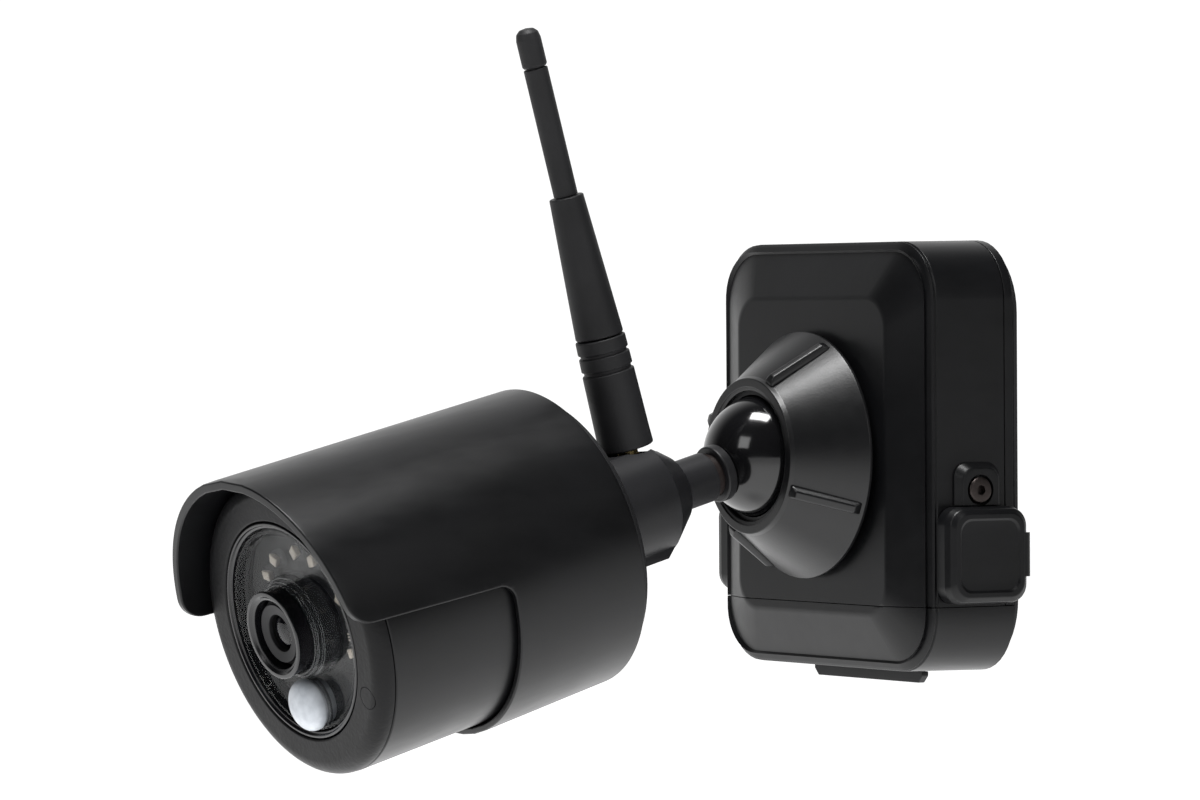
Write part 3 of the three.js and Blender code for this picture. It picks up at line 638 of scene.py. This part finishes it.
def add_socket():
    seat = ball_arc(17.9, 0, 87.4, 24)
    outline = [(max(r, 0), s) for r, s in seat] + [
        (21.5, 44.1, 0.3), (21.5, 32.5, 0.3), (27, 32.5, 0.3), (27, 31.3, 0.1), (23.6, 31.3), (23.6, 25),
        (0, 25)]
    outline[0] = (0, outline[0][1])
    placed(lathe("socket", outline, WALL), look["bracket"], "socket_base")
    cup = ball_arc(16, 0, 48, 16) + ball_arc(17.6, 48, 0, 16)
    placed(lathe("ball_cup", cup, WALL), look["gasket"], "friction_cup")
    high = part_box("pressure_ring")[1] / MM
    seat = ball_arc(16, 103.5, 91.5, 8)
    ring = seat + [(high.x, seat[-1][1], 0.2), (high.x, seat[0][1], 0.2)]
    placed(lathe("ball_pressure_ring", ring, WALL), look["bracket"], "pressure_ring")


def grip_rib(angle):
    """A bar that lies along the collar's cone, with sloped ends and sides."""
    base_r, rim_s, front_s, ring_r = 31.4, 33.7, 50.05, 19.95
    length, width, proud, sink = 18.4, 3.4, 1.5, 1.4
    radial = Vector((math.cos(angle), 0, math.sin(angle)))
    outward = Vector((0, -1, 0))
    along = (radial * (ring_r - base_r) + outward * (front_s - rim_s)).normalized()
    across = radial.cross(outward).normalized()
    up = along.cross(across)
    if up.dot(radial) < 0:
        up.negate()
    middle = radial * (base_r + ring_r) / 2 + outward * (front_s + rim_s) / 2
    rings = []
    for height, end_inset, side_inset in ((-sink, 0, 0), (0.15, 0, 0), (proud, 1.6, 0.75)):
        half_l, half_w = length / 2 - end_inset, width / 2 - side_inset
        corners = [(half_l, half_w), (-half_l, half_w), (-half_l, -half_w), (half_l, -half_w)]
        rings.append([middle + along * a + across * b + up * height for a, b in corners])
    return bevelled(skin("rib", rings), 0.42, 3, 20)


def add_collar():
    outline = [
        (22.4, 32.85), (31.4, 32.85, 0.25), (31.4, 33.7, 0.35), (20.25, 48.8, 0.8), (19.75, 50.05, 0.35),
        (17.6, 50.05, 0.25), (17.45, 49.75, 0.15), (16.6, 49.7, 0.3), (16.6, 48.8), (19.1, 48.8),
        (19.1, 44.8), (22.4, 44.8),
    ]
    collar = lathe("collar", outline, WALL, steps=160)
    for i in range(4):
        combined(collar, grip_rib(math.radians(65 + 90 * i)), "UNION", 30)
    placed(collar, look["collar"], "clamp_collar")


def add_ball():
    radius, stud = 15.7, 5
    neck = math.degrees(math.asin(stud / radius))
    sphere = [(radius * math.sin(math.radians(a)), -radius * math.cos(math.radians(a)))
              for a in [(180 - neck) * i / 48 for i in range(49)]]
    sphere[0] = (0, -radius)
    ball = lathe("ball", sphere + [(stud, 33), (0, 33)], HEAD, steps=128)
    placed(ball, look["ball"], "ball_stud")
    inner, outer = stud + 0.05, stud + 0.5
    groove = [(inner, 17.1), (outer, 17.1), (outer, 19.4), (inner, 19.4)]
    detail(lathe("stud_groove", groove, HEAD, steps=64), look["groove"], "neck_sleeve")
    ring = [(5.6, 15.3), (7.3, 14.4, 0.25), (7.3, 17.2, 0.5), (5.6, 17.2)]
    placed(lathe("lock_ring", ring, HEAD, steps=96), look["neck"], "neck_lock_ring")
    sleeve = [(5.6, 19.3), (6.4, 19.3, 0.25), (6.4, 29.7), (5.6, 29.7)]
    placed(lathe("sleeve", sleeve, HEAD, steps=96), look["sleeve"], "neck_sleeve")


# Boss and antenna -------------------------------------------------------------------------------------


def add_boss():
    tip_s, tip_r, edge_s, radius, end_s, flat_z = 30, 8.9, 38, 14.7, 65, 13.4
    bore, bore_end = 5.3, 33.3
    keel_half, keel_bottom, wide = 8, -14.7, 20
    outline = [(0, end_s), (radius, end_s), (radius, edge_s, 0.5), (tip_r, tip_s + 0.3, 0.6),
               (tip_r - 0.5, tip_s, 0.2), (bore, tip_s), (bore, bore_end), (0, bore_end)]
    boss = lathe("boss", outline, HEAD, steps=128)
    antenna_s = 40.4
    combined(boss, box_tool((-30, -70, flat_z), (30, -20, 40), HEAD), "DIFFERENCE")
    cone = (radius - tip_r) / (edge_s - tip_s)
    keel = box_tool((-keel_half, -end_s, keel_bottom), (keel_half, -tip_s, 0), HEAD)
    wide_s = tip_s + (wide - tip_r) / cone
    cone_outline = [(0, end_s), (wide, end_s), (wide, wide_s), (tip_r - 0.4, tip_s), (0, tip_s)]
    combined(keel, lathe("tool", cone_outline, HEAD, steps=96), "INTERSECT")
    combined(keel, cylinder(bore, (0, -20, 0), (0, -bore_end, 0), HEAD), "DIFFERENCE")
    combined(boss, keel, "UNION", 25)
    pad = cylinder(7.4, (0, -antenna_s, flat_z - 8), (0, -antenna_s, flat_z + 0.02), HEAD, steps=96)
    combined(boss, pad, "UNION", 25)
    placed(boss, look["neck"], "rear_boss")


def add_antenna():
    """The antenna's space has -Y up along the antenna, so s is the height above the boss."""
    base = [
        (0, 4.3), (3.1, 4.3), (3.1, 0), (7, 0, 0.5), (6.85, 4, 2), (6.6, 19.7, 0.35), (6.0, 20.05, 0.12),
        (6.0, 20.75, 0.12), (6.52, 21.0, 0.3), (6.45, 24.2, 0.3), (5.9, 24.45, 0.12), (5.9, 25.05, 0.12),
        (6.42, 25.3, 0.3), (6.35, 28.5, 0.4), (5.6, 28.7), (0, 28.7),
    ]
    placed(lathe("antenna_foot", base, ANTENNA, steps=96), look["rubber"], "antenna_base")
    sleeve = [(0, 29), (6.1, 29, 0.4), (4.35, 65, 0.35), (3.3, 65), (0, 65)]
    placed(lathe("antenna_cone", sleeve, ANTENNA, steps=96), look["rubber"], "antenna_sleeve")
    whip = [(0, 65.02), (2.6, 65.02), (2.6, 65.3), (3.05, 65.3, 0.1), (3.05, 97.9, 0.3), (2.3, 97.9),
            (2.3, 98.18), (0, 98.18)]
    placed(lathe("antenna_rod", whip, ANTENNA, steps=72), look["rubber"], "antenna_whip")
    tip = [(0, 98.2), (2.8, 98.2, 0.1), (3.15, 98.7, 0.3), (3.15, 105.3, 1.2), (2.8, 106.9, 1),
           (1.8, 107.85, 0.8), (0, 108.15)]
    placed(lathe("antenna_tip", tip, ANTENNA, steps=72), look["rubber"], "antenna_cap")


# Barrel -----------------------------------------------------------------------------------------------

SHELL = {"rear_s": 68.3, "rear_r": 38.2, "front_s": 162, "front_r": 40.5, "rear_wall": 1.2,
         "front_wall": 2.4}
VISOR = {"rim_s": 152.9, "slant": math.tan(math.radians(4.6)), "step_s": 107, "step_z": 0.3, "tip_z": 3.6,
         "corner": 4.5, "tip_corner": 6}


def along_shell(s, rear, front):
    return rear + (front - rear) * (s - SHELL["rear_s"]) / (SHELL["front_s"] - SHELL["rear_s"])


def shell_point(s, angle, depth):
    """A point of the sunshade at a distance s and an angle, depth inside its outer surface."""
    radius = along_shell(s, SHELL["rear_r"], SHELL["front_r"]) - depth
    return Vector((radius * math.cos(angle), -s, radius * math.sin(angle)))


def rim_s(z):
    return VISOR["rim_s"] + VISOR["slant"] * z


def visor_edge(inset):
    """The right half of the sunshade's front edge in side view, as (s, z) from the bottom to the crown."""
    step_s, step_z, tip_z = VISOR["step_s"] - inset, VISOR["step_z"] + inset, VISOR["tip_z"] + inset
    corner = VISOR["corner"]
    crown = along_shell(160, SHELL["rear_r"], SHELL["front_r"])
    corners = [(step_s, -60), (step_s, step_z, corner), (rim_s(tip_z) - inset, tip_z, VISOR["tip_corner"]),
               (rim_s(crown) - inset, crown)]
    return filleted(corners, closed=False, steps=10)


def edge_loop(inset, spacing=1.2):
    """The front edge as (s, angle) all the way round, from straight down to straight down again."""
    outline = visor_edge(inset)
    fine = []
    for here, there in zip(outline, outline[1:]):
        count = max(1, math.ceil((there - here).length / spacing))
        fine += [here.lerp(there, k / count) for k in range(count)]
    fine.append(outline[-1])
    right = []
    for s, z in fine:
        radius = along_shell(s, SHELL["rear_r"], SHELL["front_r"])
        if -radius < z < radius:
            right.append((s, math.asin(z / radius)))
    bottom = [(right[0][0], -math.pi / 2)]
    top = [(rim_s(along_shell(157, SHELL["rear_r"], SHELL["front_r"])) - inset, math.pi / 2)]
    half = bottom + right
    return half + top + [(s, math.pi - angle) for s, angle in reversed(half)]


def add_shell():
    """Outer and inner skins share one flat triangulation; a rounded strip joins them along every edge."""
    inset = 0.45
    border = edge_loop(inset)
    rear = SHELL["rear_s"] + inset
    scale = SHELL["front_r"]
    seam_count = round((VISOR["step_s"] - inset - rear) / 2)
    seam = [rear + (border[0][0] - rear) * k / seam_count for k in range(1, seam_count)]
    low, high = -math.pi / 2, 3 * math.pi / 2
    columns = 150
    back_edge = [(rear, low + (high - low) * k / columns) for k in range(columns + 1)]
    loop = border + [(s, high) for s in reversed(seam)] + back_edge[::-1] + [(s, low) for s in seam]
    flat = [Vector((s, angle * scale)) for s, angle in loop]
    ring = [(i, (i + 1) % len(flat)) for i in range(len(flat))]
    step = 2.0
    for row in range(1, columns):
        angle = low + (high - low) * (row + 0.5) / columns
        limits = []
        for (s0, angle0), (s1, angle1) in zip(border, border[1:]):
            if angle0 <= angle < angle1:
                limits.append(s0 + (s1 - s0) * (angle - angle0) / (angle1 - angle0))
        end = min(limits) if limits else border[0][0]
        s = rear + step * (0.5 + 0.5 * (row % 2))
        while s < end - 1.0:
            flat.append(Vector((s, angle * scale)))
            s += step
    places, _, triangles, *_ = delaunay_2d_cdt(flat, ring, [], 1, 1e-5)
    places = [(p.x, p.y / scale) for p in places]

    def wall(s):
        return along_shell(s, SHELL["rear_wall"], SHELL["front_wall"])

    points = [shell_point(s, a, 0) for s, a in places] + [shell_point(s, a, wall(s)) for s, a in places]
    count = len(places)
    faces = [tuple(t) for t in triangles] + [tuple(i + count for i in reversed(t)) for t in triangles]

    def strip(edge, away):
        """Quads round an edge from the outer skin to the inner one; away is the way out, in (s, angle)."""
        rounds = 4
        start = len(points)
        for (s, angle), (ds, da) in zip(edge, away):
            thick = wall(s)
            radius = along_shell(s, SHELL["rear_r"], SHELL["front_r"])
            lip = min(inset, thick / 2)
            turn = [(lip * math.sin(t), lip * (1 - math.cos(t)))
                    for t in [math.pi / 2 * k / rounds for k in range(rounds + 1)]]
            profile = turn + [(out, thick - depth) for out, depth in reversed(turn)]
            for out, depth in profile:
                reach = out * inset / lip
                points.append(shell_point(s + ds * reach, angle + da * reach / radius, depth))
        width = 2 * (rounds + 1)
        for i in range(len(edge) - 1):
            for k in range(width - 1):
                a = start + i * width + k
                faces.append((a, a + 1, a + 1 + width, a + width))

    away = []
    for i in range(len(border)):
        (s0, a0), (s1, a1) = border[max(i - 1, 0)], border[min(i + 1, len(border) - 1)]
        radius = along_shell(border[i][0], SHELL["rear_r"], SHELL["front_r"])
        direction = Vector((s1 - s0, (a1 - a0) * radius)).normalized()
        away.append((direction.y, -direction.x))
    away[0] = away[-1] = (1, 0)
    strip(border, away)
    strip(back_edge, [(-1, 0)] * len(back_edge))
    placed(made("sunshade", points, faces, TUBE, 40), look["shell"], "sunshade_shell")


def add_housing():
    body = [(34.4, 68.8), (36.6, 68.8, 0.3), (37.3, 142.8, 0.5), (35.1, 142.8)]
    placed(lathe("housing", body, TUBE, steps=160), look["shell"], "inner_housing")
    cap = [(0, 68.2), (30, 68.2), (30, 74), (33.9, 74), (33.9, 68.4), (36.3, 68.4, 0.2), (36.3, 66.7, 0.8),
           (35, 65.3, 0.6), (0, 65.3)]
    placed(lathe("rear_plate", cap, TUBE, steps=160), look["bracket"], "rear_cap")


def bezel_body(name):
    radius = 37.2
    corner = arc(4.2, 0, 90, 12, (radius - 4.2, 147.4 - 4.2))
    outline = [(radius, 143.1)] + corner + [(27.5, 147.4, 0.6), (27.5, 137), (34.8, 137), (34.8, 143.1)]
    return lathe(name, outline, TUBE, steps=160)


def add_bezel():
    bezel = bezel_body("bezel")
    plug_x, plug_z, front_s = 27.7, -16, 147.4
    hole = cylinder(2.86, (plug_x, -145.3, plug_z), (plug_x, -front_s - 5, plug_z), TUBE, steps=64)
    combined(bezel, hole, "DIFFERENCE")
    placed(bezel, look["bezel"], "front_bezel")
    plug = bezel_body("plug")
    core = cylinder(2.7, (plug_x, -145.6, plug_z), (plug_x, -front_s - 5, plug_z), TUBE, steps=64)
    combined(plug, core, "INTERSECT")
    placed(plug, look["bezel"], "bezel_plug")


def add_cover():
    ring = [(25.7, 143), (27.2, 143), (27.2, 147.3, 0.35), (26.5, 147.3, 0.2), (26.2, 146.6, 0.3),
            (25.7, 146.6, 0.2)]
    placed(lathe("cover_trim", ring, TUBE, steps=160), look["hood"], "cover_ring")
    plate = [(13.7, 143.5), (25.4, 143.5), (25.4, 146.3, 0.4), (24.2, 146.3, 0.5), (23.4, 145, 0.8),
             (13.7, 145)]
    cover = lathe("cover_window", plate, TUBE, steps=160)
    low, high = extent("pir_dome", TUBE)
    z = (low.z + high.z) / 2
    combined(cover, cylinder(5.9, (0, -140, z), (0, -150, z), TUBE, steps=64), "DIFFERENCE")
    placed(cover, look["clear"], "cover_lens")
    collar = [(10.9, 142.2), (13, 142.2), (13, 146.2, 0.3), (12.2, 146.2, 0.2), (12.2, 147.4, 0.35),
              (11.6, 147.4, 0.2), (11.6, 148.1, 0.3), (10.9, 148.1, 0.2)]
    placed(lathe("cover_boss", collar, LENS, steps=128), look["clear_edge"], "lens_collar")
    sleeve = [(5.95, 145.05), (6.9, 145.05), (6.9, 145.9, 0.3), (5.95, 145.9, 0.3)]
    detail(lathe("dome_sleeve", sleeve, PIR, steps=96), look["clear_edge"], "cover_lens")


def add_lens():
    hood = [(8.7, 136), (10.5, 136), (10.5, 151.5, 0.2), (11, 151.7, 0.2), (11, 152.5, 0.35),
            (9.9, 152.5, 0.25), (9.3, 151.9, 0.3), (8.7, 151.7, 0.2)]
    placed(lathe("hood", hood, LENS, steps=128), look["hood"], "lens_hood")
    mount = [(0, 130), (8.4, 130), (8.4, 149, 0.2), (4.9, 149), (4.9, 147.6), (0, 147.6)]
    placed(lathe("lens_mount", mount, LENS, steps=96), look["cavity"], "lens_barrel")
    face = [(4.6, 149.3), (7.4, 149.3), (7.4, 150.8, 0.3), (5.6, 150.45, 0.6), (4.6, 150.3, 0.25)]
    placed(lathe("lens_face", face, LENS, steps=96), look["lens_face"], "lens_ring")
    dome = [(4.2 * math.cos(math.radians(a)), 148.3 + 1.7 * math.sin(math.radians(a)))
            for a in range(0, 90, 9)]
    glass = [(0, 147.9), (4.2, 147.9)] + dome + [(0, 150)]
    placed(lathe("lens_front", glass, LENS, steps=96), look["glass"], "lens_glass")


def add_board():
    low, high = extent("led_board", TUBE)
    board = [(11.3, -high.y), (26.9, -high.y), (26.9, -low.y, 0.1), (11.3, -low.y, 0.1)]
    placed(lathe("lamp_board", board, TUBE, steps=128), look["dark_board"], "led_board")
    funnel = [(26.9, 139.9), (27.3, 139.9), (27.3, 142.8), (24.4, 142.8), (24.4, 142.3, 0.2)]
    detail(lathe("window_funnel", funnel, TUBE, steps=128), look["cavity"], "led_board")


def add_lamps():
    """Each lamp is a clear dome over a pale, four-cornered chip."""
    for number in range(1, 9):
        node = f"ir_led_{number}"
        low, high = extent(node, TUBE)
        x, z = (low.x + high.x) / 2, (low.z + high.z) / 2
        start, end = -high.y, -low.y
        dome = [(0, start), (2.5, start), (2.5, start + 1.2, 0.3)]
        rise = end - start - 1.25
        dome += [(2.35 * math.cos(math.radians(a)), start + 1.25 + rise * math.sin(math.radians(a)))
                 for a in range(0, 90, 10)] + [(0, end)]
        placed(lathe(f"lamp_{number}", dome, TUBE, (x, z), steps=40), look["bead"], node)
        spin = math.atan2(z, x)
        corners = [(2.1, 0), (0.4, 1.6), (-1.9, 0.3), (-0.5, -1.65)]
        rings = []
        for s, scale in ((start + 0.9, 0.7), (end - 0.9, 1.0), (end - 0.6, 0.86)):
            rings.append([(x + scale * (a * math.cos(spin) - b * math.sin(spin)), -s,
                           z + scale * (a * math.sin(spin) + b * math.cos(spin))) for a, b in corners])
        detail(bevelled(skin(f"lamp_chip_{number}", rings, TUBE), 0.12, 2, 20), look["chip"], node)


def add_light_sensor():
    low, high = extent("light_sensor", TUBE)
    x, z = (low.x + high.x) / 2, (low.z + high.z) / 2
    start, end = -high.y, -low.y
    dome = [(0, start), (1.9, start), (1.9, start + 1.6)]
    rise = end - start - 1.6
    dome += [(1.9 * math.cos(math.radians(a)), start + 1.6 + rise * math.sin(math.radians(a)))
             for a in range(10, 90, 10)] + [(0, end)]
    placed(lathe("daylight_bead", dome, TUBE, (x, z), steps=48), look["bead"], "light_sensor")
    for i in range(3):
        bar_low = (x - 1.1, -end + 0.5, z - 0.95 + 0.75 * i)
        bar_high = (x + 1.1, -end + 0.9, z - 0.6 + 0.75 * i)
        bar = box_tool(bar_low, bar_high, TUBE)
        bar.name = f"daylight_track_{i + 1}"
        detail(bevelled(bar, 0.08, 2), look["chip"], "light_sensor")


def add_motion_sensor():
    side_s, front_s, radius = 147.2, 151.2, 6.5
    bulge = front_s - side_s
    outer = [(radius * math.cos(math.radians(a)), side_s + bulge * math.sin(math.radians(a)) ** 0.9)
             for a in range(0, 90, 6)]
    hollow = front_s - 0.9 - side_s
    inner = [(4.7 * math.cos(math.radians(a)), side_s + hollow * math.sin(math.radians(a)))
             for a in range(84, -1, -12)]
    outline = [(0, front_s - 0.9)] + inner + [(4.7, 143), (5.6, 143), (5.6, 146.5), (6.5, 146.5, 0.2)]
    outline += outer + [(0, front_s)]
    placed(lathe("motion_dome", outline, PIR, steps=96), look["pir"], "pir_dome")


# CAD nodes that stay as they are ----------------------------------------------------------------------


def finish_cad_nodes():
    """Hidden inner pieces keep their CAD shape and get a material."""
    finishes = {
        "gasket": ["pack_gasket"],
        "green": ["contact_board", "sensor_board", "main_board"],
        "steel": ["latch_pin_right", "latch_pin_left", "pir_sensor"],
        "brass": ["antenna_connector"],
    }
    for finish, nodes in finishes.items():
        for node in nodes:
            mesh = frame["nodes"][node].data
            mesh.materials.clear()
            mesh.materials.append(look[finish])


# Stage, light and camera ------------------------------------------------------------------------------

CAMERA_BACK = Vector((0.85314, -0.52151, 0.01316))
CAMERA_RIGHT = Vector((0.52161, 0.85316, -0.00583))
CAMERA_UP = Vector((-0.00819, 0.01184, 0.99990))
CAMERA_PLACE = Vector((1.3518, -0.9201, 0.0356))
LENS_LENGTH = 190.33


def add_camera():
    data = bpy.data.cameras.new("camera")
    data.lens = LENS_LENGTH
    data.sensor_width = 36
    data.sensor_fit = "HORIZONTAL"
    data.clip_start = 0.05
    camera = bpy.data.objects.new("camera", data)
    camera.matrix_world = space_of(CAMERA_PLACE, CAMERA_RIGHT, CAMERA_UP, CAMERA_BACK)
    bpy.context.scene.collection.objects.link(camera)
    bpy.context.scene.camera = camera


def add_light(name, place, target, size, power, height=None):
    data = bpy.data.lights.new(name, "AREA")
    data.shape = "RECTANGLE"
    data.size = size
    data.size_y = height or size
    data.energy = power
    light = bpy.data.objects.new(name, data)
    light.location = place
    light.rotation_euler = (Vector(target) - Vector(place)).to_track_quat("-Z", "Y").to_euler()
    bpy.context.scene.collection.objects.link(light)


def add_stage():
    half, depth = 8.0, -0.32
    mesh = bpy.data.meshes.new("floor")
    corners = [(-half, -half, depth), (half, -half, depth), (half, half, depth), (-half, half, depth)]
    mesh.from_pydata(corners, [], [(0, 1, 2, 3)])
    floor = bpy.data.objects.new("floor", mesh)
    bpy.context.scene.collection.objects.link(floor)
    recipe = Recipe("pale_floor")
    recipe.tint(recipe.spread(recipe.noise(60), 0, 1), (0.84, 0.84, 0.84), (0.88, 0.88, 0.88))
    recipe.shader.inputs["Roughness"].default_value = 0.9
    recipe.shader.inputs["Emission Color"].default_value = (1, 1, 1, 1)
    recipe.shader.inputs["Emission Strength"].default_value = 0.92
    mesh.materials.append(recipe.material)


def add_world():
    """A white backdrop behind the object and a darker room on the near side."""
    world = bpy.data.worlds.new("studio")
    world.use_nodes = True
    bpy.context.scene.world = world
    nodes, links = world.node_tree.nodes, world.node_tree.links
    background = nodes["Background"]
    place = nodes.new("ShaderNodeTexCoord").outputs["Generated"]
    facing = nodes.new("ShaderNodeVectorMath")
    facing.operation = "DOT_PRODUCT"
    facing.inputs[1].default_value = -CAMERA_BACK
    links.new(place, facing.inputs[0])
    glow = nodes.new("ShaderNodeMapRange")
    glow.interpolation_type = "SMOOTHSTEP"
    for socket, value in (("From Min", 0.2), ("From Max", 0.97), ("To Min", 0.025), ("To Max", 1.1)):
        glow.inputs[socket].default_value = value
    links.new(facing.outputs["Value"], glow.inputs["Value"])
    links.new(glow.outputs["Result"], background.inputs["Strength"])
    background.inputs["Color"].default_value = (1, 1, 1, 1)


def add_lights():
    middle = (0, -0.09, 0)
    add_light("overhead_softbox", (0.1, -0.25, 1.1), middle, 0.55, 20, 0.3)
    add_light("near_fill", (0.35, -1.3, 0.6), middle, 0.5, 3)
    add_light("right_strip", (1.1, 0.15, 0.55), middle, 0.25, 2.5, 0.9)


add_camera()
add_pack_front()
add_battery_door()
add_pack_back()
add_batteries()
add_latches()
add_lock_screw()
add_socket()
add_collar()
add_ball()
add_boss()
add_antenna()
add_shell()
add_housing()
add_bezel()
add_cover()
add_lens()
add_board()
add_lamps()
add_light_sensor()
add_motion_sensor()
finish_cad_nodes()
add_stage()
add_world()
add_lights()
bpy.context.scene.view_settings.view_transform = "Standard"
